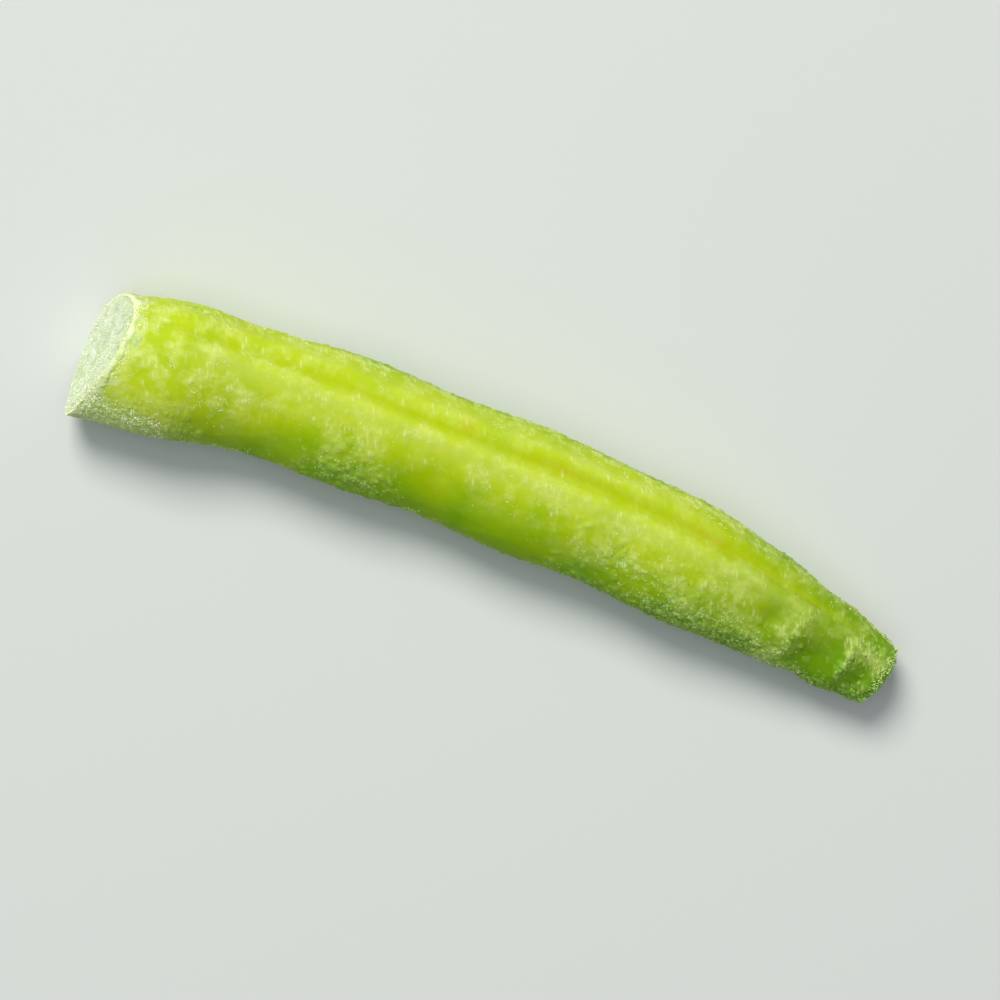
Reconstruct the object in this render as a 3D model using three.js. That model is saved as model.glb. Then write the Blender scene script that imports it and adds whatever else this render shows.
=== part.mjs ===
// A frozen green bean: one pod, trimmed at both ends, lying on its side.
// Millimetres, +Z up. X runs from the oblique cut face to the blunt tip.
// The pod arches towards +Y, and one suture shows on its upper side.

import * as THREE from 'three';

// Size and arch of the pod
const podLength = 67.4;        // middle of the cut face to the tip
const podWidth = 10.05;        // before the taper, across the arch
const podHeightShare = 0.95;   // height over width
const sectionSkew = 0.17;      // the section is fuller towards +Y, like an egg
const archPeak = 36;           // where along the pod it bows most towards +Y
const cutEndFall = 2.72;       // how far the cut end lies behind that, and how late it falls
const cutEndPower = 3.2;
const tipFall = 3.3;           // the same for the tip
const tipFallPower = 2;
const tipTaper = 0.48;         // share of the width lost at the tip
const taperStart = 41;
const endFlare = 0.6;          // the pod widens a little near its cut end
const endFlareAt = 5.6;
const endFlareReach = 3.6;

// How it lies
const flatDepth = 0.17;        // what the resting side is flattened by
const tipLift = 1.1;           // the narrow tip stays clear of the surface

// Seeds swell the pod's two cheeks
const seedPitch = 14.7;
const firstSeed = 5.5;
const seedSwell = 0.2;
const lastSwell = 55;          // the swelling dies out past here
const swellFade = 5;

// Sutures: two grooves on opposite sides, each between two lips
const sutureAngle = 34;        // degrees from the top towards +Y, at the arch's peak
const sutureTwist = 12;        // more than that towards either end
const sutureTwistSpan = 30;
const grooveDepth = 0.3;
const grooveHalfWidth = 0.6;
const lipHeight = 0.14;
const lipOffset = 1.35;
const lipHalfWidth = 0.65;
const sutureEndFade = 5;       // the groove runs out this close to either end

// The oblique cut at the stem end
const cutTilt = 12.5;          // degrees, looking up
const cutTurn = 19;            // degrees from square towards +Y, seen from above
const cutTwist = 0.42;         // the tilt grows towards +Y by this share
const cutReach = 13;           // how far along the pod the rings lean with the cut
const rimRound = 0.18;         // rounding of the skin's edge
const seedHollowDepth = 0.35;  // shallow seed cavity in the middle of the face
const seedHollowLong = 2.2;
const seedHollowWide = 1.1;

// The blunt, shrivelled tip
const tipCorner = 1.2;
const tipHollowDepth = 0.25;
const tipHollowRadius = 1.0;
// Dents and folds of the shrivelled end: place along the pod, degrees from the upper suture,
// height, half-width along the pod and half-width round it in degrees
const tipFolds = [
  { at: 56.6, turn: -45, height: -0.38, reach: 0.95, spread: 17 },
  { at: 59.0, turn: -46, height: 0.26, reach: 0.8, spread: 40 },
  { at: 61.3, turn: -66, height: -0.55, reach: 1.5, spread: 30 },
  { at: 63.7, turn: -54, height: 0.36, reach: 0.5, spread: 34 },
  { at: 65.5, turn: -62, height: -0.42, reach: 0.75, spread: 30 },
  { at: 60.2, turn: 62, height: -0.3, reach: 1.7, spread: 36 },
  { at: 64.6, turn: 100, height: -0.3, reach: 1.0, spread: 44 },
  { at: 57.6, turn: 150, height: -0.35, reach: 1.8, spread: 34 },
  { at: 63.2, turn: -160, height: 0.24, reach: 0.7, spread: 40 },
  { at: 60.8, turn: -150, height: -0.3, reach: 1.2, spread: 36 },
];

// Mesh
const around = 44;
const along = 58;
const sutureCrowding = 0.55;   // columns stand closer together at the sutures
const endCrowding = 0.62;      // rings stand closer together at the two ends
const faceRings = [0, 0.16, 0.32, 0.5, 0.7, 0.88];
const shoulderSteps = 4;

const radians = THREE.MathUtils.degToRad;
const clamp01 = (value) => THREE.MathUtils.clamp(value, 0, 1);
const bell = (distance, halfWidth) => Math.exp(-((distance / halfWidth) ** 2));

// The skewed section is highest, and lowest, this share of its half-width off the middle
const crownShare = (Math.sqrt(1 + 8 * sectionSkew ** 2) - 1) / (4 * sectionSkew);
const crownHeight = Math.sqrt(1 - crownShare ** 2) * (1 + sectionSkew * crownShare);

function taperAt(x) {
  return clamp01((x - taperStart) / (podLength - taperStart)) ** 2;
}

function halfWidthAt(x) {
  const tapered = podWidth * (1 - tipTaper * taperAt(x));
  return 0.5 * (tapered + endFlare * bell(x - endFlareAt, endFlareReach));
}

// How far towards +Y the centre line lies, at most 0 at the arch's peak
function archAt(x) {
  if (x < archPeak) {
    return -cutEndFall * ((archPeak - x) / archPeak) ** cutEndPower;
  }
  return -tipFall * ((x - archPeak) / (podLength - archPeak)) ** tipFallPower;
}

function headingAt(x) {
  const step = 0.5;
  return Math.atan2(archAt(x + step) - archAt(x - step), 2 * step);
}

function axisHeightAt(x) {
  return crownHeight * podHeightShare * halfWidthAt(x) - flatDepth + tipLift * taperAt(x);
}

// Degrees from the top towards +Y at which the upper suture lies
function sutureAt(x) {
  return sutureAngle + sutureTwist * ((x - archPeak) / sutureTwistSpan) ** 2;
}

// Relief of the side, in mm, at an angle from the upper suture
function reliefAt(angle, x) {
  const fromSuture = Math.abs(Math.asin(Math.sin(angle))) * halfWidthAt(x);
  const nearEnd = Math.min(x, podLength - x);
  const runOut = 1 - bell(nearEnd, sutureEndFade);
  const groove = -grooveDepth * bell(fromSuture, grooveHalfWidth);
  const lips = lipHeight * bell(fromSuture - lipOffset, lipHalfWidth);
  const swellLeft = 1 / (1 + Math.exp((x - lastSwell) / swellFade * 4));
  const seeds = Math.cos(2 * Math.PI * (x - firstSeed) / seedPitch);
  const swell = seedSwell * seeds * swellLeft * Math.sin(angle) ** 2;
  let folds = 0;
  for (const fold of tipFolds) {
    const turned = angle - radians(fold.turn);
    const round = Math.atan2(Math.sin(turned), Math.cos(turned));
    folds += fold.height * bell(x - fold.at, fold.reach) * bell(round, radians(fold.spread));
  }
  return (groove + lips) * runOut + swell + folds;
}

// How far a face is hollowed at a share of its radius
function faceHollow(share, angle, radius) {
  const alongSuture = share * radius * Math.cos(angle);
  const acrossSuture = share * radius * Math.sin(angle);
  return seedHollowDepth * bell(alongSuture, seedHollowLong) * bell(acrossSuture, seedHollowWide);
}

// A point of the pod: angle from the upper suture, place along it, share of the radius
function podPoint(angle, x, share) {
  const turn = angle + radians(sutureAt(x));
  const radius = share * (halfWidthAt(x) + reliefAt(angle, x));
  const side = radius * Math.sin(turn);
  const up = radius * Math.cos(turn) * podHeightShare * (1 + sectionSkew * Math.sin(turn));
  const tilted = Math.tan(radians(cutTilt)) * up * (1 + cutTwist * side / halfWidthAt(x));
  const turned = Math.tan(radians(cutTurn)) * side;
  const lean = (tilted + turned) * clamp01(1 - x / cutReach) ** 2;
  const heading = headingAt(x);
  return new THREE.Vector3(
    x + lean * Math.cos(heading) - side * Math.sin(heading),
    archAt(x) + lean * Math.sin(heading) + side * Math.cos(heading),
    Math.max(0, axisHeightAt(x) + up),
  );
}

// Profile for the lathe: x is the share of the radius, y the place along the pod.
// It is turned round at the end, to run from the tip, so that the faces point out.
function podProfile() {
  const profile = faceRings.map((share) => new THREE.Vector2(share, 0));
  profile.push(new THREE.Vector2(1 - rimRound / halfWidthAt(0), 0.02));
  const sideEnd = podLength - tipCorner;
  for (let i = 0; i < along; i += 1) {
    const t = i / (along - 1);
    const crowded = t - endCrowding * Math.sin(2 * Math.PI * t) / (2 * Math.PI);
    profile.push(new THREE.Vector2(1, rimRound + crowded * (sideEnd - rimRound)));
  }
  for (let i = 1; i <= shoulderSteps; i += 1) {
    const bend = radians(90 * i / shoulderSteps);
    const x = sideEnd + tipCorner * Math.sin(bend);
    const inset = tipCorner * (1 - Math.cos(bend));
    profile.push(new THREE.Vector2(1 - inset / halfWidthAt(x), x));
  }
  const faceShare = profile.at(-1).x;
  for (const share of [0.66, 0.33, 0]) {
    const sink = tipHollowDepth * bell(share * faceShare * halfWidthAt(podLength), tipHollowRadius);
    profile.push(new THREE.Vector2(share * faceShare, podLength - sink));
  }
  return profile.reverse();
}

// The lathe gives a unit solid, and each of its points is moved to its place on the pod
function podGeometry() {
  const geometry = new THREE.LatheGeometry(podProfile(), around);
  const position = geometry.getAttribute('position');
  for (let i = 0; i < position.count; i += 1) {
    const share = Math.hypot(position.getX(i), position.getZ(i));
    const even = Math.atan2(position.getX(i), position.getZ(i));
    const angle = even - sutureCrowding * Math.sin(2 * even) / 2;
    const x = position.getY(i);
    const point = podPoint(angle, x, share);
    if (x === 0) {
      point.x += faceHollow(share, angle, halfWidthAt(0));
    }
    position.setXYZ(i, point.x, point.y, point.z);
  }
  geometry.deleteAttribute('uv');
  geometry.computeVertexNormals();
  geometry.computeBoundingBox();
  const centre = geometry.boundingBox.getCenter(new THREE.Vector3());
  geometry.translate(-centre.x, -centre.y, 0);
  return geometry;
}

const podSkin = new THREE.MeshStandardMaterial({
  color: 0x9dc22a,
  roughness: 0.5,
  metalness: 0,
});

const pod = new THREE.Mesh(podGeometry(), podSkin);
pod.name = 'pod';

const greenBean = new THREE.Group();
greenBean.add(pod);

export default greenBean;
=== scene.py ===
import bpy
import math
import numpy as np
from mathutils import Matrix, Vector, noise


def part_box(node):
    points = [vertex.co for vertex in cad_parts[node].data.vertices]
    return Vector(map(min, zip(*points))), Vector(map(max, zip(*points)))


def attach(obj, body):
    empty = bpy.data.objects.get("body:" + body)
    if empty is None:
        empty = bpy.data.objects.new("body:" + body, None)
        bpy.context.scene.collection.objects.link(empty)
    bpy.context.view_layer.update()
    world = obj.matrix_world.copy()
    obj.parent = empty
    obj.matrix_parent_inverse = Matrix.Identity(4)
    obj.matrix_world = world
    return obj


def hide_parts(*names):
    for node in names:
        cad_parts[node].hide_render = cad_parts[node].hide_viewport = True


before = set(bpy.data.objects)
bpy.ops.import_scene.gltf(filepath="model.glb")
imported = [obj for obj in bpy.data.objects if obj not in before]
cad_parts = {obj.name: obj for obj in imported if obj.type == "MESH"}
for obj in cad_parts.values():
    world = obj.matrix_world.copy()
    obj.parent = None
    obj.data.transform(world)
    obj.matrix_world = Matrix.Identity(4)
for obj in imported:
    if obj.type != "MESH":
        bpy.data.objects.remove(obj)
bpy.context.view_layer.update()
mm = 0.001


def bell(distance, halfWidth):
    return np.exp(-((distance / halfWidth) ** 2))


def smoothStep(value, start, end):
    t = np.clip((value - start) / (end - start), 0, 1)
    return t * t * (3 - 2 * t)


def wrapDegrees(turn):
    return (turn + 180) % 360 - 180


def unit(vectors):
    return vectors / np.linalg.norm(vectors, axis=-1, keepdims=True)


def noiseOver(points, grain, seed):
    # smooth noise from -1 to 1 whose lumps are about one grain (mm) across
    offset = Vector((seed * 17.3, seed * 5.1, seed * 9.7))
    lumps = [noise.noise(Vector(p) / grain + offset) for p in points.reshape(-1, 3)]
    return np.array(lumps).reshape(points.shape[:-1])


# Shape of the pod in mm: x runs from the oblique cut to the blunt tip, the arch bows towards +Y
pod = dict(
    length=67.4,
    width=10.05,
    heightShare=0.95,  # height over width
    sectionSkew=0.17,  # the section is fuller towards +Y, like an egg
    archPeak=36.0,
    cutEndFall=2.72,  # how far the cut end lies behind the peak, and how late it falls
    cutEndPower=3.2,
    tipFall=3.3,
    tipFallPower=2.0,
    tipTaper=0.48,  # share of the width lost at the tip
    taperStart=41.0,
    endFlare=0.6,  # the pod widens a little near its cut end
    endFlareAt=5.6,
    endFlareReach=3.6,
    flatDepth=0.17,  # the resting side is flattened by this much
    tipLift=1.1,
    seedPitch=14.7,
    firstSeed=5.5,
    seedSwell=0.2,
    lastSwell=55.0,
    swellFade=5.0,
    sutureAngle=34.0,  # degrees from the top towards +Y
    sutureTwist=12.0,
    sutureTwistSpan=30.0,
    grooveDepth=0.3,
    grooveHalfWidth=0.6,
    lipHeight=0.14,
    lipOffset=1.35,
    lipHalfWidth=0.65,
    sutureEndFade=5.0,
    cutTilt=12.5,  # degrees, looking up
    cutTurn=19.0,  # degrees from square towards +Y
    cutTwist=0.42,  # the cut steepens towards +Y by this share
    cutReach=13.0,
    rimRound=0.18,
    seedHollowDepth=0.35,
    seedHollowLong=2.2,
    seedHollowWide=1.1,
    tipCorner=1.2,
    tipHollowDepth=0.25,
    tipHollowRadius=1.0,
)
# dents and folds of the shrivelled end: x, degrees from the upper suture, height, reach, spread
tipFolds = [
    (56.6, -45, -0.38, 0.95, 17),
    (59.0, -46, 0.26, 0.8, 40),
    (61.3, -66, -0.55, 1.5, 30),
    (63.7, -54, 0.36, 0.5, 34),
    (65.5, -62, -0.42, 0.75, 30),
    (60.2, 62, -0.3, 1.7, 36),
    (64.6, 100, -0.3, 1.0, 44),
    (57.6, 150, -0.35, 1.8, 34),
    (63.2, -160, 0.24, 0.7, 40),
    (60.8, -150, -0.3, 1.2, 36),
]
# the skewed section is highest, and lowest, this share of its half-width off the middle
crownShare = (math.sqrt(1 + 8 * pod["sectionSkew"] ** 2) - 1) / (4 * pod["sectionSkew"])
crownHeight = math.sqrt(1 - crownShare**2) * (1 + pod["sectionSkew"] * crownShare)


def taperAt(x):
    return np.clip((x - pod["taperStart"]) / (pod["length"] - pod["taperStart"]), 0, 1) ** 2


def halfWidthAt(x):
    tapered = pod["width"] * (1 - pod["tipTaper"] * taperAt(x))
    return 0.5 * (tapered + pod["endFlare"] * bell(x - pod["endFlareAt"], pod["endFlareReach"]))


def archAt(x):
    before = np.clip((pod["archPeak"] - x) / pod["archPeak"], 0, 2)
    after = np.clip((x - pod["archPeak"]) / (pod["length"] - pod["archPeak"]), 0, 2)
    cutEnd = pod["cutEndFall"] * before ** pod["cutEndPower"]
    return -cutEnd - pod["tipFall"] * after ** pod["tipFallPower"]


def headingAt(x):
    step = 0.5
    return np.arctan2(archAt(x + step) - archAt(x - step), 2 * step)


def sutureAt(x):
    apart = (x - pod["archPeak"]) / pod["sutureTwistSpan"]
    return pod["sutureAngle"] + pod["sutureTwist"] * apart**2


def fromSuture(turn, x):
    # mm round the skin to the nearer suture
    angle = np.radians(turn - sutureAt(x))
    return np.abs(np.arcsin(np.sin(angle))) * halfWidthAt(x)


def reliefAt(turn, x):
    angle = np.radians(turn - sutureAt(x))
    away = fromSuture(turn, x)
    runOut = 1 - bell(np.minimum(x, pod["length"] - x), pod["sutureEndFade"])
    groove = -pod["grooveDepth"] * bell(away, pod["grooveHalfWidth"])
    lips = pod["lipHeight"] * bell(away - pod["lipOffset"], pod["lipHalfWidth"])
    swellLeft = 1 / (1 + np.exp((x - pod["lastSwell"]) / pod["swellFade"] * 4))
    seeds = np.cos(2 * np.pi * (x - pod["firstSeed"]) / pod["seedPitch"])
    swell = pod["seedSwell"] * seeds * swellLeft * np.sin(angle) ** 2
    folds = 0
    for at, turned, height, reach, spread in tipFolds:
        apart = wrapDegrees(np.degrees(angle) - turned)
        folds = folds + height * bell(x - at, reach) * bell(apart, spread)
    return (groove + lips) * runOut + swell + folds


def podPoints(turn, x, share):
    # turn is in degrees from the top towards +Y, share is the part of the radius
    radius = share * (halfWidthAt(x) + reliefAt(turn, x))
    sine = np.sin(np.radians(turn))
    side = radius * sine
    up = radius * np.cos(np.radians(turn)) * pod["heightShare"] * (1 + pod["sectionSkew"] * sine)
    tilted = math.tan(math.radians(pod["cutTilt"])) * up
    tilted = tilted * (1 + pod["cutTwist"] * side / halfWidthAt(x))
    turned = math.tan(math.radians(pod["cutTurn"])) * side
    lean = (tilted + turned) * np.clip(1 - x / pod["cutReach"], 0, 1) ** 2
    heading = headingAt(x)
    axisHeight = crownHeight * pod["heightShare"] * halfWidthAt(x) - pod["flatDepth"]
    axisHeight = axisHeight + pod["tipLift"] * taperAt(x)
    return np.stack(
        [
            x + lean * np.cos(heading) - side * np.sin(heading),
            archAt(x) + lean * np.sin(heading) + side * np.cos(heading),
            np.maximum(0, axisHeight + up),
        ],
        axis=-1,
    )


def podFrames(turn, x):
    # surface points with their outward normals and the directions along and round the pod
    step = 0.05
    here = podPoints(turn, x, 1.0)
    alongPod = unit(podPoints(turn, x + step, 1.0) - podPoints(turn, x - step, 1.0))
    roundPod = unit(podPoints(turn + 1, x, 1.0) - podPoints(turn - 1, x, 1.0))
    out = unit(np.cross(alongPod, -roundPod))
    return here, out, alongPod, roundPod


def faceHollow(share, turn):
    # the shallow seed cavity in the middle of the cut face, and the low swelling round it
    fromAxis = share * halfWidthAt(0.0)
    angle = np.radians(turn - sutureAt(0.0))
    hollow = pod["seedHollowDepth"] * bell(fromAxis * np.cos(angle), pod["seedHollowLong"])
    hollow = hollow * bell(fromAxis * np.sin(angle), pod["seedHollowWide"])
    fromLip = halfWidthAt(0.0) - skin["faceLipInset"] - fromAxis
    return hollow - skin["faceLip"] * bell(fromLip, skin["faceLipHalfWidth"])


# Fine skin of the pod, in mm
skin = dict(
    columns=192,
    sideRings=440,
    faceRings=26,
    rimRings=4,
    shoulderRings=9,
    tipRings=10,
    endCrowding=0.3,  # rings stand closer together at both ends
    waveHeight=0.05,
    waveGrain=2.4,
    dimpleHeight=0.022,
    dimpleGrain=0.75,
    seamRidge=0.08,
    seamRidgeHalfWidth=0.17,
    seamEndFade=4.0,  # the seam's thread runs out this close to either end
    grainSizes=(0.78, 0.46),  # mm across the clumps and the grains of the frost crust
    grainHeights=(0.075, 0.075),
    grainLeast=0.04,  # thinner frost than this has no grains
    grainEdge=0.45,  # share of a grain that slopes down to its edge
    crustWhole=(0.1, 0.6),  # the crust sets in over these mm from the cut
    roughCrust=0.05,
    roughGrain=0.25,
    faceLip=0.1,
    faceLipInset=0.95,
    faceLipHalfWidth=0.45,
    faceCrust=0.05,
    faceCrustGrain=0.5,
    faceFibre=0.05,
    faceFibreGrain=0.6,
    faceFibreStretch=(1.0, 2.4, 0.35),  # finer across the face and longer up it
    greenEdge=(50, 50, 0.55, 1.0),  # turn and reach of the greener flesh, and shares of the radius
)

# Where frost and scars lie: x and turn of the middle, reach along and round the pod, strength
frost = dict(
    rime=[
        (3.2, -64, 4.0, 30, 0.85),  # below the cut face
        (9.0, -84, 4.0, 13, 0.8),
        (21.5, -48, 3.2, 26, 0.55),
        (31.0, -86, 9.0, 10, 0.75),  # thin fringe along the lower edge
        (43.5, -76, 5.0, 18, 0.75),
        (50.0, -60, 4.6, 32, 0.9),
        (55.5, -62, 4.0, 30, 1.0),
        (45.0, -22, 6.0, 24, 0.34),
        (59.4, -68, 2.0, 16, 1.0),
        (62.0, -80, 4.0, 22, 0.95),
        (66.0, -66, 1.6, 34, 0.9),
        (58.9, -14, 0.9, 24, 0.6),  # on the folds of the tip
        (63.6, -4, 0.32, 26, 1.0),
        (65.2, 28, 1.1, 20, 0.7),
        (24.0, 88, 10.0, 12, 0.7),  # fringe along the upper edge
        (43.0, 88, 10.0, 12, 0.75),
        (57.0, 84, 5.0, 15, 0.8),
        (7.0, 70, 3.5, 16, 0.4),
        (10.0, 160, 6.0, 34, 0.8),  # the side that lies down
        (28.0, 140, 7.0, 26, 0.6),
        (47.0, 165, 6.0, 30, 0.85),
        (62.0, 130, 4.0, 44, 0.8),
        (36.0, -140, 9.0, 22, 0.5),
    ],
    dust=[
        (3.0, 20, 5.0, 80, 0.7),
        (9.5, 12, 6.5, 42, 0.8),
        (21.0, -14, 3.6, 34, 0.52),
        (33.5, 4, 5.5, 20, 0.5),
        (43.0, -14, 4.2, 32, 0.52),
        (51.0, -12, 4.6, 36, 0.65),
        (57.5, -30, 2.2, 40, 0.6),
        (65.0, 10, 2.0, 40, 0.5),
        (18.0, 84, 13.0, 20, 0.8),
        (45.0, 84, 15.0, 20, 0.85),
        (14.0, 130, 9.0, 50, 0.6),
        (40.0, 150, 12.0, 60, 0.6),
        (58.0, 120, 7.0, 60, 0.7),
        (26.0, -120, 14.0, 34, 0.5),
    ],
    bare=[
        (14.8, -22, 2.2, 20, 0.8),
        (26.8, -26, 3.2, 18, 0.85),
        (35.0, -42, 2.8, 15, 0.85),
        (44.8, -44, 2.8, 12, 0.8),
        (56.6, -5, 0.9, 16, 0.9),
        (61.2, -26, 1.5, 24, 0.85),
        (65.4, -16, 0.7, 22, 0.8),
    ],
    hoar=[
        (2.2, -66, 4.2, 26, 1.0),  # thickest and whitest, just below the cut face
        (8.6, -86, 3.4, 10, 0.7),
        (59.0, -70, 1.8, 12, 0.5),
    ],
    scars=[
        (28.5, 43, 0.5, 7, 0.3),  # yellowed spots on and beside the groove
        (36.4, 38, 1.5, 4, 0.2),
        (49.4, 40, 2.0, 4, 0.2),
    ],
)

# The even bloom between the patches, and on the lips beside the groove, where it is partly a painted
# highlight: degrees round the pod, x in mm. A pair of x says where
bloom = dict(
    film=0.05,  # a trace everywhere
    top=(46, 56, 0.32),  # turn, reach and strength on the side that looks up
    lips=[
        # degrees from the suture, reach, strength, and the pair of x
        (-20, 11, 1.0, 62, 52),
        (21, 9, 0.6, 50, 40),
    ],
    lipsWhole=(3, 10),
    # share of the lips' frost and painted highlight that joins the film
    lipFilmAndHighlight=0.3,
    grooveBare=0.8,  # share of the film that the groove is kept clear of
)

# The greens under the frost, with painted shade down the cheeks and between grains of frost, with pairs of
# x as above
greens = dict(
    grooveHalfWidth=0.36,
    grooveWidening=0.3,
    grooveShift=0.25,  # towards the upper lobe, where it widens
    grooveWide=[(26, 38), (60, 50)],
    grooveStrength=[(0.5, 0.4, 12, 34), (0.4, 0.6, 60, 50)],  # least, how much more, pair of x
    lowerGroove=(0.6, 0.4),  # strength and half-width
    grooveEnds=[(3, 12), (66, 58)],
    cheekAndShade=(6, 120),  # degrees from the suture over which the green deepens, partly the pod's own tone and partly painted shade
    cheekAndShadeLater=(44, 22, 3),  # that many degrees later near the cut end, where less painted shade is laid
    tip=(0.84, 46, 65),  # strength of the darker green of the tip, and its pair of x
    gapShade=(0.7, 0.25, 0.9),  # painted shade on the skin between grains of frost: strength, and the frost it takes
)

# The ragged, whitened edge behind the cut face
cutEdge = dict(
    reach=0.8,
    ragged=(0.8, 1.3, 0.9),  # middle, swing and grain in mm of what the reach is multiplied by
    raggedLimits=(0.25, 2),
    white=[(1.0, 1.3, 0.1), (0.4, 3.2, 0.5)],  # strength, gone and whole as multiples of the reach
    rime=(0.9, 2.6, 0.4),  # the same for the frost there
    hoarWhite=0.34,  # the skin is whitened this much under hoar
    faceRime=0.8,  # frost of the face, which shows only where it meets the skin
    clumpShare=0.6,  # whiteness of the crust's clumps beside that of its grains
)


def frostAmount(patches, turn, x):
    amount = np.zeros(np.broadcast(turn, x).shape)
    for atX, atTurn, reachX, reachTurn, strength in patches:
        here = strength * bell(x - atX, reachX) * bell(wrapDegrees(turn - atTurn), reachTurn)
        amount = np.maximum(amount, here)
    return amount


def rimeAmount(turn, x):
    return frostAmount(frost["rime"], turn, x)


def lipFrostAndHighlightAmount(turn, x):
    # an even, pale bloom on the lips on both sides of the groove: frost, with a painted highlight along
    # their ridges
    amount = 0
    for away, reach, strength, gone, whole in bloom["lips"]:
        here = strength * bell(wrapDegrees(turn - sutureAt(x) - away), reach)
        amount = np.maximum(amount, here * smoothStep(x, gone, whole))
    return amount * smoothStep(x, *bloom["lipsWhole"])


def dustAmount(turn, x):
    # a thin film everywhere, thicker in patches and on the lips beside the groove, where it is partly a
    # painted highlight
    film = np.maximum(frostAmount(frost["dust"], turn, x), bloom["lipFilmAndHighlight"] * lipFrostAndHighlightAmount(turn, x))
    topTurn, topReach, topStrength = bloom["top"]
    film = film + bloom["film"] + topStrength * bell(wrapDegrees(turn - topTurn), topReach)
    film = film * (1 - frostAmount(frost["bare"], turn, x))
    return film * (1 - bloom["grooveBare"] * grooveAmount(turn, x))


def grooveAmount(turn, x):
    # the groove's bare yellow green, which widens a little over the upper lobe
    away = np.radians(wrapDegrees(turn - sutureAt(x))) * halfWidthAt(x)
    widening = 1
    for gone, whole in greens["grooveWide"]:
        widening = widening * smoothStep(x, gone, whole)
    strength = 1
    for least, more, gone, whole in greens["grooveStrength"]:
        strength = strength * (least + more * smoothStep(x, gone, whole))
    halfWidth = greens["grooveHalfWidth"] + greens["grooveWidening"] * widening
    upper = strength * bell(away - greens["grooveShift"] * widening, halfWidth)
    lowerStrength, lowerHalfWidth = greens["lowerGroove"]
    amount = np.maximum(upper, lowerStrength * bell(fromSuture(turn, x), lowerHalfWidth))
    for gone, whole in greens["grooveEnds"]:
        amount = amount * smoothStep(x, gone, whole)
    return amount


def cheekAndShadeAmount(turn, x):
    # how far the green deepens down the cheeks, partly the pod's own tone and partly painted shade of the
    # lower flank; it sets in later near the cut end
    most, gone, whole = greens["cheekAndShadeLater"]
    later = most * smoothStep(x, gone, whole)
    start, end = greens["cheekAndShade"]
    return smoothStep(np.abs(wrapDegrees(turn - sutureAt(x))), start + later, end + later)


def newMesh(name, points, faces):
    mesh = bpy.data.meshes.new(name)
    mesh.from_pydata((points * mm).tolist(), [], faces)
    mesh.update()
    return mesh


def newPiece(name, mesh):
    piece = bpy.data.objects.new(name, mesh)
    bpy.context.scene.collection.objects.link(piece)
    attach(piece, "root")
    return piece


def podRows():
    # share of the radius and place along the pod of each ring, and the zone it belongs to
    rows = []
    halfRim = halfWidthAt(0.0)
    for i in range(1, skin["faceRings"] + 1):
        share = math.sin(i / skin["faceRings"] * math.pi / 2)  # rings crowd towards the rim
        rows.append((share * (1 - pod["rimRound"] / halfRim), 0.0, "cut"))
    for i in range(1, skin["rimRings"] + 1):
        bend = math.pi / 2 * i / (skin["rimRings"] + 1)
        inset = pod["rimRound"] * (1 - math.sin(bend))
        rows.append((1 - inset / halfRim, pod["rimRound"] * (1 - math.cos(bend)), "side"))
    sideEnd = pod["length"] - pod["tipCorner"]
    for i in range(skin["sideRings"]):
        t = i / (skin["sideRings"] - 1)
        crowded = t - skin["endCrowding"] * math.sin(2 * math.pi * t) / (2 * math.pi)
        rows.append((1.0, pod["rimRound"] + crowded * (sideEnd - pod["rimRound"]), "side"))
    for i in range(1, skin["shoulderRings"] + 1):
        bend = math.pi / 2 * i / skin["shoulderRings"]
        x = sideEnd + pod["tipCorner"] * math.sin(bend)
        inset = pod["tipCorner"] * (1 - math.cos(bend))
        rows.append((1 - inset / halfWidthAt(x), x, "side"))
    faceShare = rows[-1][0]
    for i in range(skin["tipRings"] - 1, 0, -1):
        share = faceShare * i / skin["tipRings"]
        hollow = bell(share * halfWidthAt(pod["length"]), pod["tipHollowRadius"])
        rows.append((share, pod["length"] - pod["tipHollowDepth"] * hollow, "tip"))
    return rows


def ringFaces(rowCount, columns):
    # quads between the rings, and a fan of triangles to a pole at either end
    faces = []
    for i in range(rowCount - 1):
        for j in range(columns):
            k = (j + 1) % columns
            here, there = i * columns, (i + 1) * columns
            faces.append((here + k, here + j, there + j, there + k))
    firstPole = rowCount * columns
    last = (rowCount - 1) * columns
    for j in range(columns):
        k = (j + 1) % columns
        faces.append((firstPole, j, k))
        faces.append((firstPole + 1, last + k, last + j))
    return faces


def grainsOver(points, size, amount, seed):
    # rounded cells about one size across, more of them filled where the amount is high
    offset = Vector((seed * 3.7, seed * 11.3, seed * 6.1))
    domes = np.zeros(amount.shape)
    for index in np.ndindex(amount.shape):
        if amount[index] < skin["grainLeast"]:
            continue
        distances, cells = noise.voronoi(Vector(points[index]) / size + offset)
        filled = noise.cell_vector(cells[0] * 7.3)[0]
        if filled < amount[index]:
            domes[index] = distances[1] - distances[0]
    return smoothStep(domes, 0, skin["grainEdge"])


def skinHeight(points, turn, x, crust, onSide):
    # what stands along the normals: waves, dimples, the seam's thread, crusts of frost
    height = skin["waveHeight"] * noiseOver(points, skin["waveGrain"], 1)
    height += skin["dimpleHeight"] * noiseOver(points, skin["dimpleGrain"], 2)
    thread = skin["seamRidge"] * bell(fromSuture(turn, x), skin["seamRidgeHalfWidth"])
    runOut = 1 - bell(np.minimum(x, pod["length"] - x), skin["seamEndFade"])
    height += thread * runOut * onSide
    rough = noiseOver(points, skin["roughGrain"], 4)
    raised = skin["roughCrust"] * np.maximum(crust[0], crust[1]) * rough
    for grains, tall in zip(crust, skin["grainHeights"]):
        raised = raised + tall * grains
    height += raised * onSide * smoothStep(x, *skin["crustWhole"])
    lumps = skin["faceCrust"] * noiseOver(points, skin["faceCrustGrain"], 5)
    fibres = points * np.array(skin["faceFibreStretch"])
    lumps += skin["faceFibre"] * noiseOver(fibres, skin["faceFibreGrain"], 6)
    return height + lumps * (1 - onSide)


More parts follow.
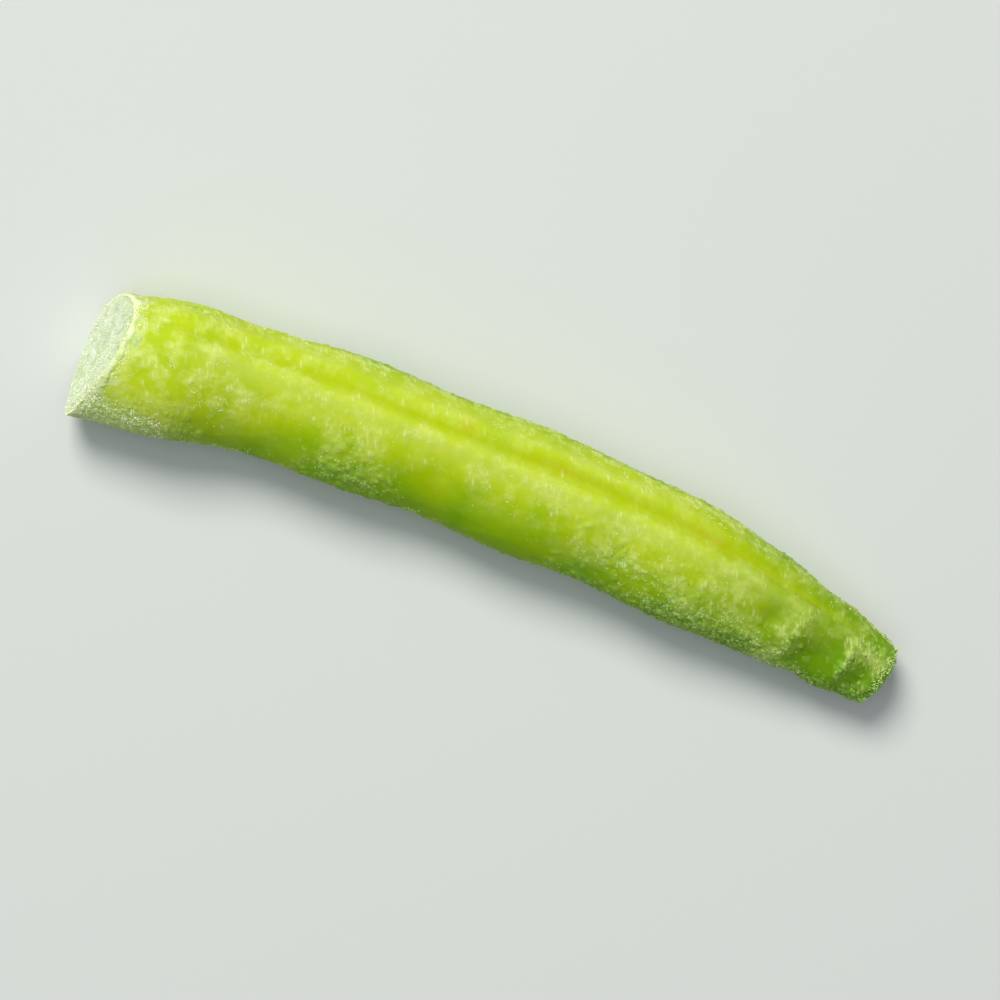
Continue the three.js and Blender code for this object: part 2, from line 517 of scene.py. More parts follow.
def cutEdgeAmounts(points, turn, x):
    # how far the skin behind the cut is whitened, and how much frost it carries there
    middle, swing, grain = cutEdge["ragged"]
    ragged = np.clip(middle + swing * noiseOver(points, grain, 3), *cutEdge["raggedLimits"])
    reach = cutEdge["reach"] * ragged
    white = cutEdge["hoarWhite"] * frostAmount(frost["hoar"], turn, x)
    for strength, gone, whole in cutEdge["white"]:
        white = np.maximum(white, strength * smoothStep(x, gone * reach, whole * reach))
    strength, gone, whole = cutEdge["rime"]
    return white, strength * smoothStep(x, gone * reach, whole * reach)


def buildPod():
    rows = podRows()
    columns = skin["columns"]
    even = np.arange(columns) / columns * 360
    share = np.array([row[0] for row in rows])[:, None]
    x = np.array([row[1] for row in rows])[:, None] * np.ones(columns)
    zone = np.array([row[2] for row in rows])[:, None]
    turn = even[None, :] + sutureAt(x)
    points = podPoints(turn, x, share)
    points[..., 0] += np.where(zone == "cut", faceHollow(share, turn), 0)
    onSide = (zone != "cut") * np.ones(columns)

    spill, edgeRime = cutEdgeAmounts(points, turn, x)
    rime = np.maximum(rimeAmount(turn, x), edgeRime)
    rime = np.where(zone == "cut", cutEdge["faceRime"], rime)
    crust = []
    for seed, size in enumerate(skin["grainSizes"]):
        crust.append(grainsOver(points, size, rime * onSide, seed))
    height = skinHeight(points, turn, x, crust, onSide)

    poles = podPoints(np.zeros(2), np.array([0.0, pod["length"] - pod["tipHollowDepth"]]), 0.0)
    poles[0, 0] += pod["seedHollowDepth"]
    flat = np.concatenate([points.reshape(-1, 3), poles]) + shift
    mesh = newMesh("podSkin", flat, ringFaces(len(rows), columns))
    normals = np.empty(len(flat) * 3)
    mesh.vertices.foreach_get("normal", normals)
    lifted = flat + normals.reshape(-1, 3) * np.append(height.ravel(), [0.0, 0.0])[:, None]
    lifted[:, 2] = np.maximum(lifted[:, 2], 0)
    mesh.vertices.foreach_set("co", (lifted * mm).ravel())

    greenTurn, greenReach, inner, outer = skin["greenEdge"]
    nearRim = smoothStep(share, inner, outer) * bell(wrapDegrees(turn - greenTurn), greenReach)
    gapShadeStrength, gapShadeStart, gapShadeWhole = greens["gapShade"]
    tipStrength, tipStart, tipWhole = greens["tip"]
    bareOfHoar = 1 - frostAmount(frost["hoar"], turn, x)
    marks = dict(
        rime=rime,
        crust=np.maximum(cutEdge["clumpShare"] * crust[0], crust[1]),
        # painted shade between grains of frost, kept off under hoar
        gapShade=gapShadeStrength * smoothStep(rime, gapShadeStart, gapShadeWhole) * bareOfHoar,
        dust=dustAmount(turn, x) * onSide,
        groove=grooveAmount(turn, x) * onSide,
        # the cheeks' deeper green: partly the pod's own tone, partly painted shade
        cheekAndShade=cheekAndShadeAmount(turn, x) * onSide,
        # the lips' pale frost, with a painted highlight along their ridges
        lipFrostAndHighlight=lipFrostAndHighlightAmount(turn, x) * onSide,
        tipShade=tipStrength * smoothStep(x, tipStart, tipWhole),
        scar=frostAmount(frost["scars"], turn, x) * onSide,
        spill=spill * onSide,
        fleshGreen=nearRim * (1 - onSide),
    )
    for name, values in marks.items():
        attribute = mesh.attributes.new(name, "FLOAT", "POINT")
        ends = [values[0].mean(), values[-1].mean()]
        attribute.data.foreach_set("value", np.append(values.ravel(), ends).astype(np.float32))
    isFace = np.repeat(zone[1:, 0] == "cut", columns)
    isFace = np.append(isFace, np.tile([True, False], columns))  # the fans of the two poles in turn
    mesh.polygons.foreach_set("material_index", isFace.astype(np.int32))
    mesh.polygons.foreach_set("use_smooth", np.ones(len(mesh.polygons), dtype=bool))
    mesh.update()
    return mesh


# The CAD node is centred on its own box, so the same shift puts these points on it
podLow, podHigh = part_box("pod")
testTurn, testX = np.meshgrid(np.arange(0, 360, 3.0), np.linspace(0, pod["length"], 300))
testPoints = podPoints(testTurn, testX, 1.0).reshape(-1, 3)
designCentre = (testPoints.min(axis=0) + testPoints.max(axis=0)) / 2
shift = np.array([(podLow.x + podHigh.x) / 2 / mm, (podLow.y + podHigh.y) / 2 / mm, 0])
shift[:2] -= designCentre[:2]
print("pod shape ready, shift in mm", shift.round(3))

podMesh = buildPod()
podPiece = newPiece("podSkin", podMesh)
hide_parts("pod")
print("pod built with", len(podMesh.polygons), "faces")


# Frost crystals: small closed grains and flecks. long is their length and wide half their width,
# in mm, lift how upright they stand (0 to 1), and aim the way they lie, in degrees from the pod's
# length towards the groove. A higher power keeps them to where the frost is thick, and even is
# the share that doesn't cluster
crystals = dict(
    flank=dict(
        count=20000,
        long=(0.18, 0.7),
        wide=(0.045, 0.11),
        lift=(0.0, 0.9),
        aim=-66,
        spread=55,
        power=1.7,
    ),
    hoar=dict(count=8500, long=(0.2, 0.6), wide=(0.05, 0.13), lift=(0.1, 0.9), even=0.3, power=1.5),
    powder=dict(
        count=4500,
        long=(0.1, 0.28),
        wide=(0.045, 0.09),
        lift=(0.0, 0.8),
        power=2,
        onRime=0.3,
    ),
    fleck=dict(
        count=1500,
        long=(0.35, 0.9),
        wide=(0.035, 0.07),
        lift=(0.0, 0.3),
        aim=-66,
        spread=14,
        power=1.6,
        onRime=0.8,
        clearOfSuture=(12, 44),  # degrees from the suture over which they set in
    ),
    edge=dict(
        count=10000,
        long=(0.18, 0.7),
        wide=(0.045, 0.11),
        lift=(0.3, 1.0),
        fringes=[(93, 13, 0.9), (-86, 13, 0.8)],  # turn, reach and strength
        elsewhere=0.004,
        setIn=(1, 6),  # x over which the fringes set in
    ),
    face=dict(
        count=2200,
        long=(0.1, 0.28),
        wide=(0.04, 0.09),
        lift=(0.0, 0.2),
        outermost=0.98,  # share of the radius
    ),
    rim=dict(
        count=3000,
        long=(0.12, 0.4),
        wide=(0.05, 0.12),
        lift=(0.1, 0.9),
        start=0.05,
        depth=1.4,  # they lie on this many mm of skin behind the cut
        crowding=1.6,  # above 1, they crowd towards the cut
        turnsOver=0.6,  # this close to the cut they lean out with its face
    ),
    tip=dict(
        count=2200,
        long=(0.14, 0.42),
        wide=(0.05, 0.12),
        lift=(0.1, 0.8),
        onFace=0.4,  # share of them drawn inwards, over the small face
        innermost=0.1,
        hollowShare=0.5,  # inside this share of the radius the face is hollow
        hollowDepth=0.05,
    ),
)
crystalForm = dict(
    shortness=2.2,  # above 1, short ones are commoner
    thickness=(0.45, 1.0),  # share of the width
    uneven=(0.7, 1.25),  # how far out each corner lies
    rises=(0.55, 0.3),  # the middle stands off by these shares of half its rise and half its thickness
    sideLean=0.3,  # keeps an upright crystal's sides from being undefined
)
scatter = dict(
    batch=40000,  # places drawn at a time
    clearOfEnds=(0.2, 0.3),
    leastChance=0.01,  # places less likely than this are skipped
    clumps=[
        # middle, swing, mm across and seed
        (0.35, 1.6, 1.6, 8),
        (0.08, 2.6, 0.6, 9),
    ],
)
grainCorners = np.array([(1, 0, 0), (-1, 0, 0), (0, 1, 0), (0, -1, 0), (0, 0, 1), (0, 0, -1)], float)
grainFaces = np.array(
    [(0, 2, 4), (2, 1, 4), (1, 3, 4), (3, 0, 4), (2, 0, 5), (1, 2, 5), (3, 1, 5), (0, 3, 5)]
)
boxRoom = dict(
    share=0.024,  # grains may pass the solid's box by this share of each side
    pastEnds=0.4,  # and by no more than this past its ends
    offTable=0.03,
)


def insideBox(points):
    low, high = np.array(podLow) / mm, np.array(podHigh) / mm
    room = (high - low) * boxRoom["share"]
    room[0] = min(room[0], boxRoom["pastEnds"])
    lowest = low - room
    lowest[2] = low[2] + boxRoom["offTable"]
    return np.all((points >= lowest) & (points <= high + room), axis=(1, 2))


def crystalPiece(name, spec, frames, seed):
    # one grain on each point of the smooth pod, leaning off it. Where frost is thick the skin's
    # crust stands above that, and most of a grain lies inside the crust
    form = crystalForm
    here, out, alongPod, roundPod = frames
    generator = np.random.default_rng(seed)
    count = len(here)
    spread = spec.get("spread", 180)
    aim = spec.get("aim", 0)
    spin = np.radians(generator.uniform(aim - spread, aim + spread, (count, 1)))
    lying = alongPod * np.cos(spin) + roundPod * np.sin(spin)
    lift = generator.uniform(*spec["lift"], (count, 1))
    axis = unit(lying * np.sqrt(1 - lift**2) + out * lift)
    across = unit(np.cross(axis, out + form["sideLean"] * lying))
    third = np.cross(axis, across)
    shortest, longest = spec["long"]
    drawn = generator.uniform(0, 1, (count, 1)) ** form["shortness"]
    longHalf = (shortest + (longest - shortest) * drawn) / 2
    wideHalf = generator.uniform(*spec["wide"], (count, 1))
    thinHalf = wideHalf * generator.uniform(*form["thickness"], (count, 1))
    ofRise, ofThickness = form["rises"]
    middle = here + out * (longHalf * lift * ofRise + thinHalf * ofThickness)
    uneven = generator.uniform(*form["uneven"], (count, 6, 1))
    corners = (
        grainCorners[None, :, 0:1] * (axis * longHalf)[:, None]
        + grainCorners[None, :, 1:2] * (across * wideHalf)[:, None]
        + grainCorners[None, :, 2:3] * (third * thinHalf)[:, None]
    )
    points = middle[:, None] + corners * uneven + shift
    inside = insideBox(points)
    faces = (grainFaces[None] + 6 * np.arange(inside.sum())[:, None, None]).reshape(-1, 3)
    mesh = newMesh(name, points[inside].reshape(-1, 3), faces.tolist())
    return newPiece(name, mesh)


def sidePlaces(spec, density, seed):
    # places on the side, thick where density says and where the frost clusters
    generator = np.random.default_rng(seed)
    fromCut, fromTip = scatter["clearOfEnds"]
    even = spec.get("even", 0)
    kept = []
    while sum(len(part) for part in kept) < spec["count"]:
        x = generator.uniform(fromCut, pod["length"] - fromTip, scatter["batch"])
        turn = generator.uniform(-180, 180, scatter["batch"])
        chance = density(spec, turn, x)
        likely = chance > scatter["leastChance"]
        turn, x, chance = turn[likely], x[likely], chance[likely]
        points = podPoints(turn, x, 1.0)
        clumped = 1 - even
        for middle, swing, size, clumpSeed in scatter["clumps"]:
            clumped = clumped * np.clip(middle + swing * noiseOver(points, size, clumpSeed), 0, 1)
        chance = chance * (even + clumped)
        kept.append(np.stack([turn, x], axis=1)[generator.uniform(0, 1, len(x)) < chance])
    return np.concatenate(kept)[: spec["count"]].T


def flankDensity(spec, turn, x):
    return rimeAmount(turn, x) ** spec["power"]


def hoarDensity(spec, turn, x):
    return frostAmount(frost["hoar"], turn, x) ** spec["power"]


def powderDensity(spec, turn, x):
    return dustAmount(turn, x) ** spec["power"] + spec["onRime"] * rimeAmount(turn, x)


def fleckDensity(spec, turn, x):
    # flecks lie in the dusted patches, and keep clear of the suture
    both = np.maximum(dustAmount(turn, x), spec["onRime"] * rimeAmount(turn, x))
    away = np.abs(wrapDegrees(turn - sutureAt(x)))
    return both ** spec["power"] * smoothStep(away, *spec["clearOfSuture"])


def edgeDensity(spec, turn, x):
    # a fringe under the pod's lower edge and along its upper one
    amount = spec["elsewhere"]
    for at, reach, strength in spec["fringes"]:
        amount = amount + strength * bell(wrapDegrees(turn - at), reach)
    return amount * smoothStep(x, *spec["setIn"])


def cutFacePlaces(spec, generator):
    # places on the cut face with its outward and upward directions
    edge = podPoints(np.array([0.0, 90.0, -90.0, 180.0]), np.zeros(4), 1.0)
    faceUp = unit(edge[0] - edge[3])
    faceOut = unit(np.cross(faceUp, edge[1] - edge[2]))
    faceOut = faceOut * -np.sign(faceOut[0])
    share = np.sqrt(generator.uniform(0, 1, spec["count"])) * spec["outermost"]
    turn = generator.uniform(-180, 180, spec["count"])
    here = podPoints(turn, np.zeros(spec["count"]), share)
    here[:, 0] += faceHollow(share, turn)
    out = np.tile(faceOut, (spec["count"], 1))
    upwards = np.tile(faceUp, (spec["count"], 1))
    return here, out, upwards, np.cross(out, upwards)


def rimPlaces(spec, generator, faceOut):
    # just behind the cut, all the way round
    turn = generator.uniform(-180, 180, spec["count"])
    drawn = generator.uniform(0, 1, spec["count"]) ** spec["crowding"]
    x = drawn * spec["depth"] + spec["start"]
    here, out, alongPod = podFrames(turn, x)[:3]
    out = unit(out + faceOut * np.clip(1 - x / spec["turnsOver"], 0, 1)[:, None])
    alongPod = unit(alongPod - out * np.sum(alongPod * out, axis=1, keepdims=True))
    return here, out, alongPod, np.cross(out, alongPod)


def tipPlaces(spec, generator):
    # over the rounded shoulder and the small hollow face at the tip
    count = spec["count"]
    turn = generator.uniform(-180, 180, count)
    bend = generator.uniform(0, math.pi / 2, count)
    x = pod["length"] - pod["tipCorner"] * (1 - np.sin(bend))
    share = 1 - pod["tipCorner"] * (1 - np.cos(bend)) / halfWidthAt(x)
    onFace = generator.uniform(0, 1, count) < spec["onFace"]
    share = np.where(onFace, share * generator.uniform(spec["innermost"], 1, count), share)
    x = np.where(share < spec["hollowShare"], pod["length"] - spec["hollowDepth"], x)
    here = podPoints(turn, x, share)
    sideOut, roundPod = podFrames(turn, np.minimum(x, pod["length"] - pod["tipCorner"]))[1::2]
    tipOut = np.array([1.0, float(np.tan(headingAt(pod["length"]))), 0.0])
    out = unit(sideOut * np.cos(bend)[:, None] + tipOut * np.sin(bend)[:, None])
    alongPod = unit(np.cross(out, roundPod))
    return here, out, alongPod, np.cross(out, alongPod)


def addFrost():
    pieces = []
    scattered = [
        ("flank", flankDensity, 11),
        ("hoar", hoarDensity, 41),
        ("powder", powderDensity, 31),
        ("fleck", fleckDensity, 21),
        ("edge", edgeDensity, 13),
    ]
    for name, density, seed in scattered:
        spec = crystals[name]
        turn, x = sidePlaces(spec, density, seed)
        pieces.append(crystalPiece(name + "Frost", spec, podFrames(turn, x), seed + 1))
    generator = np.random.default_rng(15)
    face = cutFacePlaces(crystals["face"], generator)
    pieces.append(crystalPiece("cutFaceFrost", crystals["face"], face, 16))
    rim = rimPlaces(crystals["rim"], generator, face[1][0])
    pieces.append(crystalPiece("rimFrost", crystals["rim"], rim, 17))
    pieces.append(crystalPiece("tipFrost", crystals["tip"], tipPlaces(crystals["tip"], generator), 18))
    return pieces


frostPieces = addFrost()
for piece in frostPieces:
    print(piece.name, len(piece.data.polygons), "faces")


def linear(hexColour):
    # sRGB hex to the linear values that the shaders take
    channels = [int(hexColour[i : i + 2], 16) / 255 for i in (1, 3, 5)]
    return [c / 12.92 if c <= 0.04045 else ((c + 0.055) / 1.055) ** 2.4 for c in channels] + [1.0]


def perMm(size):
    # noise scale that makes lumps of this many mm, in a space measured in metres
    return 1 / (size * mm)


def addNode(tree, kind, settings, inputs):
    # each input takes a number, a colour or another node's output
    node = tree.nodes.new(kind)
    for name, value in settings.items():
        setattr(node, name, value)
    for name, value in inputs.items():
        if isinstance(value, bpy.types.NodeSocket):
            tree.links.new(value, node.inputs[name])
        else:
            node.inputs[name].default_value = value
    return node


def newMaterial(name):
    material = bpy.data.materials.new(name)
    material.use_nodes = True
    tree = material.node_tree
    tree.nodes.clear()
    return material, tree


# Bean pod skin: grown, waxy and thin, so light sinks in and glows yellow green through it; satin where it
# is bare, whitened and rough where frost has settled. Painted shade darkens the lower cheeks and the skin
# between grains of frost, and a painted highlight pales the lips beside the groove
skinLook = dict(
    lime="#B4CA0C",
    # deeper green of the mottles, and of the cheeks, where it is partly painted shade
    deep="#76AA00",
    tipGreen="#5C9004",
    groove="#A8BC00",
    scar="#C9A02A",
    gapShade="#437C00",  # painted shade on the skin between grains of frost
    dust="#DBE582",
    feather="#DDE892",
    rime="#BCDD70",
    spill="#E9F3C2",
    roughness=0.5,
    ior=1.43,  # plant wax
    gloss=0.05,  # the bloom takes most of the shine away
    mottleSize=4.2,
    blotchSize=1.5,
    cloudSize=0.5,
    featherSizes=(0.26, 0.8, 0.8),  # grains of frost, drawn coarser than real to show
    featherTurn=24,
    rimeSize=0.28,
    poreSize=0.22,
    mottling=0.3,  # how much the mottles deepen or pale the green
    lipFrostAndHighlightShare=0.22,  # this and the next four: how much each layer hides of what is under it
    dustFilm=0.82,
    feathers=0.5,
    crustWhite=0.28,
    rimeWhite=0.8,
    glow=0.25,
    glowReach=(0.8, 1.0, 0.2),  # green and red pass through, blue hardly
    glowDepth=0.4,
)
skinMarks = ("rime", "gapShade", "dust", "crust", "groove", "cheekAndShade", "lipFrostAndHighlight", "tipShade", "scar", "spill")


def beanSkinMaterial():
    look = skinLook
    material, tree = newMaterial("waxyBeanSkinFrosted")
    place = addNode(tree, "ShaderNodeTexCoord", {}, {}).outputs["Object"]
    marks = {}
    for name in skinMarks:
        marks[name] = addNode(tree, "ShaderNodeAttribute", {"attribute_name": name}, {}).outputs["Fac"]
    noises = {}
    for name in ("mottle", "blotch", "cloud", "pore"):
        inputs = {"Vector": place, "Scale": perMm(look[name + "Size"]), "Detail": 3.0}
        noises[name] = addNode(tree, "ShaderNodeTexNoise", {}, inputs).outputs[0]

    # green, deeper in soft mottles and down the cheeks, where it is partly the pod's own tone and partly
    # painted shade, darkest at the shrivelled tip
    inputs = {"Value": noises["mottle"], "From Min": 0.3, "From Max": 0.7}
    inputs.update({"To Min": -look["mottling"], "To Max": look["mottling"]})
    mottled = addNode(tree, "ShaderNodeMapRange", {}, inputs).outputs[0]
    inputs = {0: marks["cheekAndShade"], 1: mottled}
    deepenedAndShaded = addNode(tree, "ShaderNodeMath", {"operation": "ADD", "use_clamp": True}, inputs).outputs[0]

    # dust is a thin cloudy film with feathers in it
    inputs = {"Value": noises["blotch"], "From Min": 0.4, "From Max": 0.6, "To Min": 0.08, "To Max": 0.75}
    cloudy = addNode(tree, "ShaderNodeMapRange", {}, inputs).outputs[0]
    inputs = {"Value": noises["cloud"], "From Min": 0.36, "From Max": 0.64, "To Min": 0.55, "To Max": 1.25}
    finer = addNode(tree, "ShaderNodeMapRange", {}, inputs).outputs[0]
    inputs = {0: cloudy, 1: finer}
    cloudy = addNode(tree, "ShaderNodeMath", {"operation": "MULTIPLY"}, inputs).outputs[0]
    inputs = {0: marks["dust"], 1: cloudy}
    dusted = addNode(tree, "ShaderNodeMath", {"operation": "MULTIPLY"}, inputs).outputs[0]

    # feathers and grains fill more of their cells where there is more frost
    settings = {"vector_type": "TEXTURE"}
    inputs = {
        "Vector": place,
        "Rotation": (0.0, 0.0, math.radians(look["featherTurn"])),
        "Scale": [size * mm for size in look["featherSizes"]],
    }
    leaning = addNode(tree, "ShaderNodeMapping", settings, inputs).outputs[0]
    inputs = {0: marks["rime"], 1: 0.35, 2: dusted}
    featherAmount = addNode(tree, "ShaderNodeMath", {"operation": "MULTIPLY_ADD"}, inputs).outputs[0]
    inputs = {0: dusted, 1: 0.25, 2: marks["rime"]}
    rimeAmounts = addNode(tree, "ShaderNodeMath", {"operation": "MULTIPLY_ADD"}, inputs).outputs[0]
    grains = {}
    cellLayers = [
        ("feather", leaning, 1.0, featherAmount),
        ("rime", place, perMm(look["rimeSize"]), rimeAmounts),
    ]
    for name, vector, scale, amount in cellLayers:
        cells = addNode(tree, "ShaderNodeTexVoronoi", {}, {"Vector": vector, "Scale": scale})
        draw = addNode(tree, "ShaderNodeSeparateColor", {}, {0: cells.outputs["Color"]}).outputs[0]
        above = addNode(tree, "ShaderNodeMath", {"operation": "SUBTRACT"}, {0: amount, 1: draw}).outputs[0]
        inputs = {"Value": above, "From Min": -0.05, "From Max": 0.2}
        filled = addNode(tree, "ShaderNodeMapRange", {}, inputs).outputs[0]
        inputs = {"Value": cells.outputs["Distance"], "From Min": 0.62, "From Max": 0.2}
        dome = addNode(tree, "ShaderNodeMapRange", {}, inputs).outputs[0]
        inputs = {0: dome, 1: filled}
        grains[name] = addNode(tree, "ShaderNodeMath", {"operation": "MULTIPLY"}, inputs).outputs[0]

    layers = [
        # mottles, and down the cheeks the pod's own deeper tone mixed with painted shade
        (deepenedAndShaded, 1.0, "deep"),
        (marks["tipShade"], 1.0, "tipGreen"),
        (marks["groove"], 1.0, "groove"),
        (marks["scar"], 1.0, "scar"),
        # painted shade between grains of frost
        (marks["gapShade"], 1.0, "gapShade"),
        # pale frost on the lips, with a painted highlight along their ridges
        (marks["lipFrostAndHighlight"], look["lipFrostAndHighlightShare"], "dust"),
        (dusted, look["dustFilm"], "dust"),
        (grains["feather"], look["feathers"], "feather"),
        (marks["crust"], look["crustWhite"], "rime"),
        (grains["rime"], look["rimeWhite"], "rime"),
        (marks["spill"], 1.0, "spill"),
    ]
    colour = linear(look["lime"])
    for amount, share, name in layers:
        inputs = {0: amount, 1: share}
        laid = addNode(tree, "ShaderNodeMath", {"operation": "MULTIPLY", "use_clamp": True}, inputs)
        inputs = {0: laid.outputs[0], 6: colour, 7: linear(look[name])}
        colour = addNode(tree, "ShaderNodeMix", {"data_type": "RGBA"}, inputs).outputs[2]
    inputs = {0: dusted, 1: grains["rime"]}
    frosted = addNode(tree, "ShaderNodeMath", {"operation": "MAXIMUM"}, inputs).outputs[0]
    inputs = {"Value": frosted, "To Min": look["roughness"], "To Max": 0.75}
    roughness = addNode(tree, "ShaderNodeMapRange", {}, inputs).outputs[0]

    normal = addNode(tree, "ShaderNodeNewGeometry", {}, {}).outputs["Normal"]
    relief = [
        (noises["pore"], 0.35, 0.015),
        (dusted, 0.5, 0.08),
        (grains["feather"], 0.6, 0.05),
        (grains["rime"], 0.7, 0.05),
    ]
    for height, strength, depth in relief:
        inputs = {"Height": height, "Strength": strength, "Distance": depth * mm, "Normal": normal}
        normal = addNode(tree, "ShaderNodeBump", {}, inputs).outputs[0]
    inputs = {
        "Base Color": colour,
        "Roughness": roughness,
        "Normal": normal,
        "IOR": look["ior"],
        "Specular IOR Level": look["gloss"],
        "Subsurface Weight": look["glow"],
        "Subsurface Radius": look["glowReach"],
        "Subsurface Scale": look["glowDepth"] * mm,
    }
    shader = addNode(tree, "ShaderNodeBsdfPrincipled", {}, inputs)
    addNode(tree, "ShaderNodeOutputMaterial", {}, {"Surface": shader.outputs[0]})
    return material


# Cut flesh: wet cells sliced through and frozen, almost white under packed frost
fleshLook = dict(
    flesh="#BFCF98",
    frost="#E6F0D8",
    green="#A9C36E",
    roughness=0.6,
    ior=1.33,  # watery flesh
    cloudSize=1.0,
    grainSize=0.25,
    glow=0.3,
    glowReach=(1.0, 1.0, 0.7),
    glowDepth=0.6,
)


def cutFleshMaterial():
    look = fleshLook
    material, tree = newMaterial("frostedCutFlesh")
    place = addNode(tree, "ShaderNodeTexCoord", {}, {}).outputs["Object"]
    inputs = {"Vector": place, "Scale": perMm(look["cloudSize"]), "Detail": 4.0}
    cloud = addNode(tree, "ShaderNodeTexNoise", {}, inputs).outputs[0]
    inputs = {"Vector": place, "Scale": perMm(look["grainSize"]), "Detail": 2.0}
    grain = addNode(tree, "ShaderNodeTexNoise", {}, inputs).outputs[0]
    nearSkin = addNode(tree, "ShaderNodeAttribute", {"attribute_name": "fleshGreen"}, {}).outputs["Fac"]
    inputs = {"Value": cloud, "From Min": 0.38, "From Max": 0.6, "To Min": 0.3}
    packed = addNode(tree, "ShaderNodeMapRange", {}, inputs).outputs[0]
    inputs = {0: packed, 6: linear(look["flesh"]), 7: linear(look["frost"])}
    colour = addNode(tree, "ShaderNodeMix", {"data_type": "RGBA"}, inputs).outputs[2]
    inputs = {"Value": cloud, "From Min": 0.42, "From Max": 0.6, "To Max": 0.8}
    thinner = addNode(tree, "ShaderNodeMapRange", {}, inputs).outputs[0]
    inputs = {0: nearSkin, 1: thinner}
    wrinkled = addNode(tree, "ShaderNodeMath", {"operation": "MULTIPLY"}, inputs).outputs[0]
    inputs = {0: wrinkled, 6: colour, 7: linear(look["green"])}
    colour = addNode(tree, "ShaderNodeMix", {"data_type": "RGBA"}, inputs).outputs[2]
    inputs = {"Height": grain, "Strength": 0.4, "Distance": 0.04 * mm}
    normal = addNode(tree, "ShaderNodeBump", {}, inputs).outputs[0]
    inputs = {
        "Base Color": colour,
        "Normal": normal,
        "Roughness": look["roughness"],
        "IOR": look["ior"],
        "Subsurface Weight": look["glow"],
        "Subsurface Radius": look["glowReach"],
        "Subsurface Scale": look["glowDepth"] * mm,
    }
    shader = addNode(tree, "ShaderNodeBsdfPrincipled", {}, inputs)
    addNode(tree, "ShaderNodeOutputMaterial", {}, {"Surface": shader.outputs[0]})
    return material


# Rime: air frozen into ice grains, so they look whitish and patchy, tinted by what they sit on
rimeTints = ("onSkin", "onDust", "onRim", "onCut")
rimeUnder = dict(
    powderFrost="onDust",
    edgeFrost="onDust",
    fleckFrost="onDust",
    hoarFrost="onRim",
    cutFaceFrost="onCut",
    rimFrost="onRim",
)
rimeLook = dict(
    onSkin=("#7EB828", "#CAE88C"),
    onDust=("#C2D866", "#E0EBA2"),
    onRim=("#E2F09C", "#FBFDE6"),
    onCut=("#D3E2B4", "#EBF2DA"),
    roughness=0.4,
    ior=1.31,  # ice
    patchSize=0.5,
)


def rimeMaterial(name, colours):
    look = rimeLook
    material, tree = newMaterial(name)
    place = addNode(tree, "ShaderNodeTexCoord", {}, {}).outputs["Object"]
    inputs = {"Vector": place, "Scale": perMm(look["patchSize"]), "Detail": 3.0}
    patch = addNode(tree, "ShaderNodeTexNoise", {}, inputs).outputs[0]
    inputs = {"Value": patch, "From Min": 0.35, "From Max": 0.65}
    patchy = addNode(tree, "ShaderNodeMapRange", {}, inputs).outputs[0]
    inputs = {0: patchy, 6: linear(colours[0]), 7: linear(colours[1])}
    colour = addNode(tree, "ShaderNodeMix", {"data_type": "RGBA"}, inputs).outputs[2]
    inputs = {"Base Color": colour, "Roughness": look["roughness"], "IOR": look["ior"]}
    shader = addNode(tree, "ShaderNodeBsdfPrincipled", {}, inputs)
    addNode(tree, "ShaderNodeOutputMaterial", {}, {"Surface": shader.outputs[0]})
    return material


podMesh.materials.append(beanSkinMaterial())
podMesh.materials.append(cutFleshMaterial())
rimes = {name: rimeMaterial("rime" + name[0].upper() + name[1:], rimeLook[name]) for name in rimeTints}
for piece in frostPieces:
    piece.data.materials.append(rimes[rimeUnder.get(piece.name, "onSkin")])
print("materials set")


# Pale floor, soft light from the upper left of the picture, and the camera above
studio = dict(
    floorColour="#D2D6D4",
    floorRoughness=0.6,
    floorSize=3.0,
    tiltToCutEnd=6.6,  # degrees the camera stands off the vertical
    tiltToArch=6.0,
    roll=22.6,  # the pod runs down to the right by this much
    distance=0.36,
    frameWidth=0.0785,
    lights=[
        # name, direction, distance, size, power, colour
        ("key", (-0.55, 0.6, 1.0), 1.2, 0.5, 13.0, "#FFFDF4"),
        ("sky", (-0.2, 0.0, 1.0), 1.6, 1.4, 7.2, "#F4F8FF"),
    ],
    ambient=0.2,
    ambientColour="#EEF3F7",
)


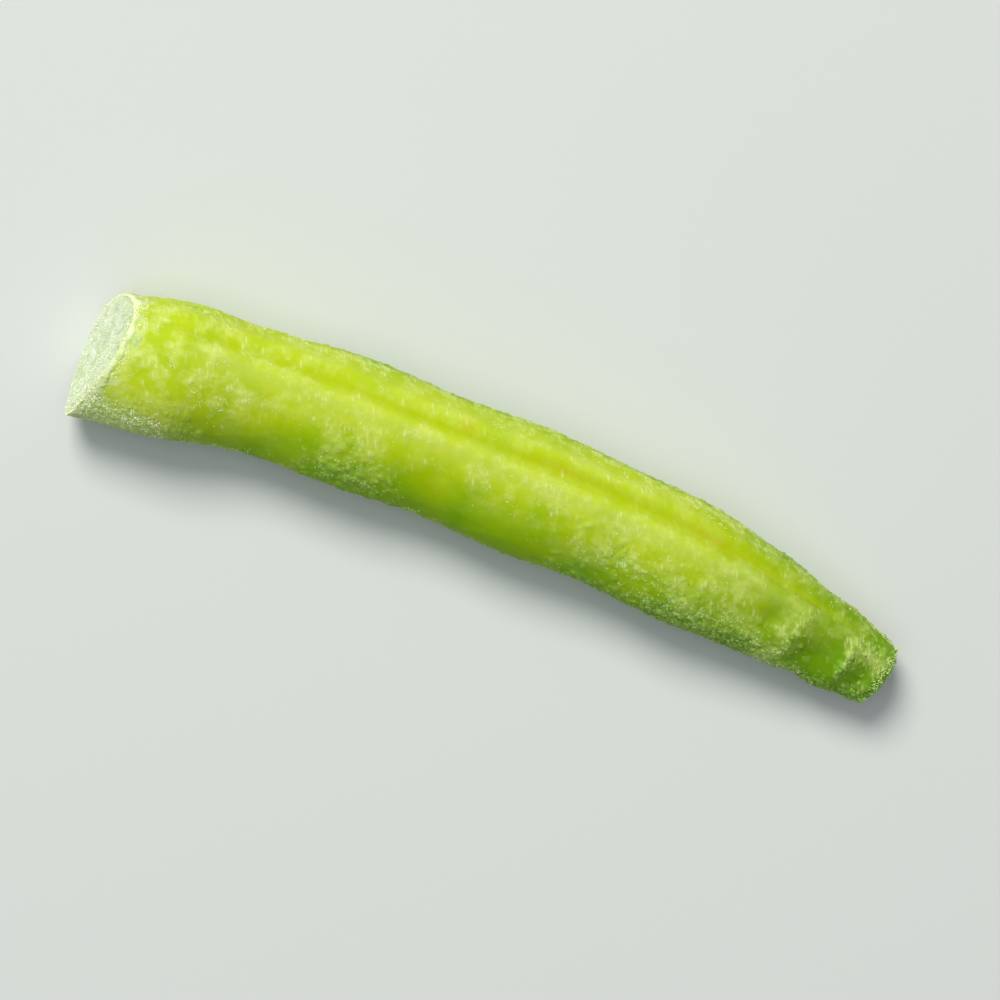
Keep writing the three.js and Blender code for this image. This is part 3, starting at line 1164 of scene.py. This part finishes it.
def buildFloor():
    half = studio["floorSize"] / 2
    mesh = bpy.data.meshes.new("floor")
    corners = [(-half, -half, 0), (half, -half, 0), (half, half, 0), (-half, half, 0)]
    mesh.from_pydata(corners, [], [(0, 1, 2, 3)])
    floor = bpy.data.objects.new("floor", mesh)
    bpy.context.scene.collection.objects.link(floor)
    material, tree = newMaterial("matteTable")
    inputs = {"Base Color": linear(studio["floorColour"]), "Roughness": studio["floorRoughness"]}
    shader = addNode(tree, "ShaderNodeBsdfPrincipled", {}, inputs)
    addNode(tree, "ShaderNodeOutputMaterial", {}, {"Surface": shader.outputs[0]})
    mesh.materials.append(material)


def addLight(name, direction, distance, size, power, colour):
    data = bpy.data.lights.new(name, "AREA")
    data.shape = "DISK"
    data.size = size
    data.energy = power
    data.color = linear(colour)[:3]
    light = bpy.data.objects.new(name, data)
    light.location = Vector(direction).normalized() * distance
    light.rotation_mode = "QUATERNION"
    light.rotation_quaternion = Vector(direction).to_track_quat("Z", "Y")
    bpy.context.scene.collection.objects.link(light)


def addAmbient():
    world = bpy.data.worlds.new("studio")
    world.use_nodes = True
    background = world.node_tree.nodes["Background"]
    background.inputs["Color"].default_value = linear(studio["ambientColour"])
    background.inputs["Strength"].default_value = studio["ambient"]
    bpy.context.scene.world = world


def buildCamera():
    centre = (podLow + podHigh) / 2
    leftwards = -math.tan(math.radians(studio["tiltToCutEnd"]))
    upwards = math.tan(math.radians(studio["tiltToArch"]))
    back = Vector((leftwards, upwards, 1.0)).normalized()
    roll = math.radians(studio["roll"])
    up = Vector((-math.sin(roll), math.cos(roll), 0))
    up = (up - back * up.dot(back)).normalized()
    right = up.cross(back)
    data = bpy.data.cameras.new("camera")
    data.sensor_width = 36.0
    data.lens = data.sensor_width * studio["distance"] / studio["frameWidth"]
    data.clip_start = 0.01
    camera = bpy.data.objects.new("camera", data)
    turned = Matrix((right, up, back)).transposed().to_4x4()
    camera.matrix_world = Matrix.Translation(centre + back * studio["distance"]) @ turned
    bpy.context.scene.collection.objects.link(camera)
    bpy.context.scene.camera = camera


buildFloor()
buildCamera()
for light in studio["lights"]:
    addLight(*light)
addAmbient()
bpy.context.scene.view_settings.view_transform = "Standard"
print("studio ready")
